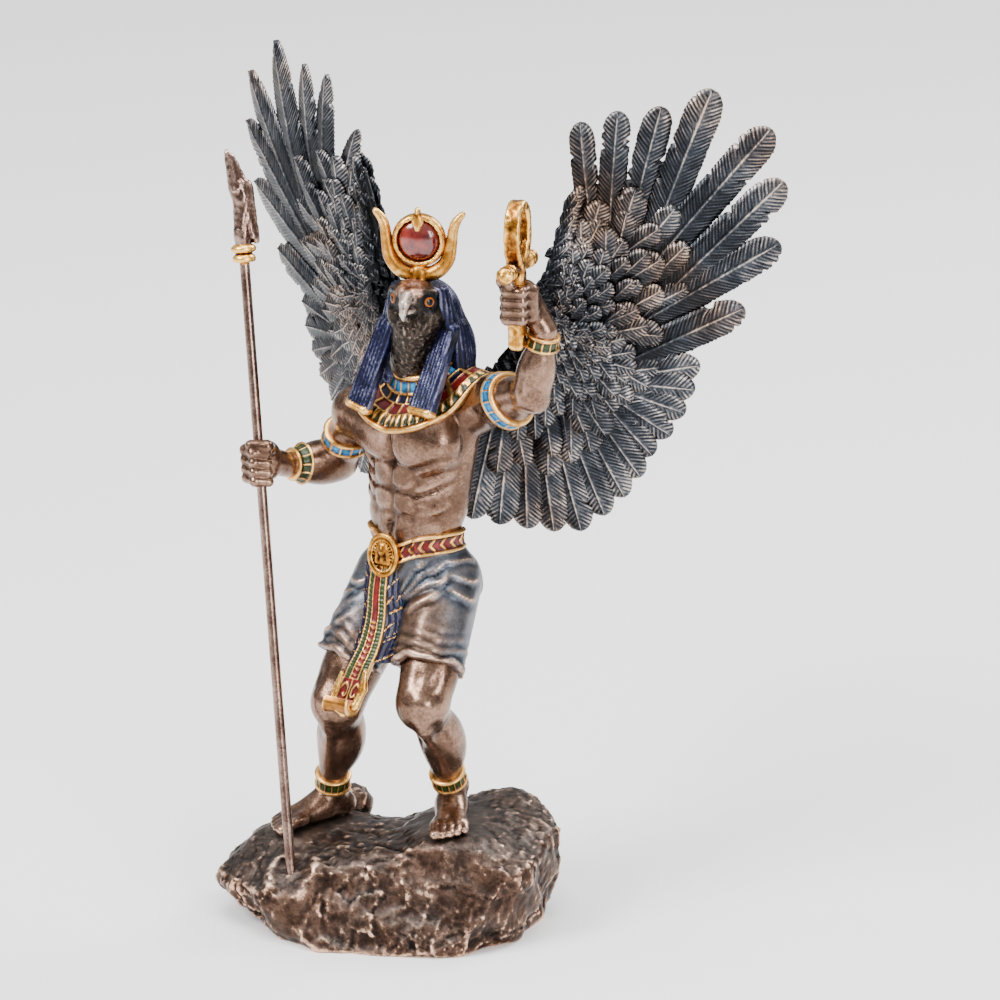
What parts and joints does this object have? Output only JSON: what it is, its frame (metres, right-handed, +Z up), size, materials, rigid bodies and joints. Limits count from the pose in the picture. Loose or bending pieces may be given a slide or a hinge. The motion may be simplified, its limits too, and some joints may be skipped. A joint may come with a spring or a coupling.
{
  "type": "ra figurine",
  "caption": "Winged, falcon-headed figurine in bronze-coloured cast resin, standing on a rock with an animal-headed staff, an ankh and a horned sun crown.",
  "frame": {"origin": "middle of the rock's flat underside", "axes": "+Z up; the figure faces -Y, and its left side is towards +X"},
  "size_m": [0.2172, 0.1181, 0.2919],
  "materials": {
    "skin": "glossy brown bronze, lighter on the raised parts",
    "feathers": "blue-black patina with bronze rubbed over the barbs",
    "rock": "dark brown patina with copper rubbed over the ridges",
    "staff": "pale pinkish bronze, satin",
    "gold": "antique gold paint, satin",
    "headcloth": "dark indigo blue enamel",
    "kilt": "blue-grey patina with copper rubbed over the folds",
    "turquoise": "gloss turquoise enamel",
    "red": "gloss dark red enamel",
    "green": "gloss green enamel",
    "plumage": "matt black-brown stippled plumage of the face and throat"
  },
  "bodies": {
    "root": {"rock_base": "rock", "figure": "skin", "wing_left": "feathers", "wing_right": "feathers", "staff_rod": "staff", "staff_head": "staff", "ankh": "gold", "horned_sun_crown": "gold"}
  },
  "joints": []
}
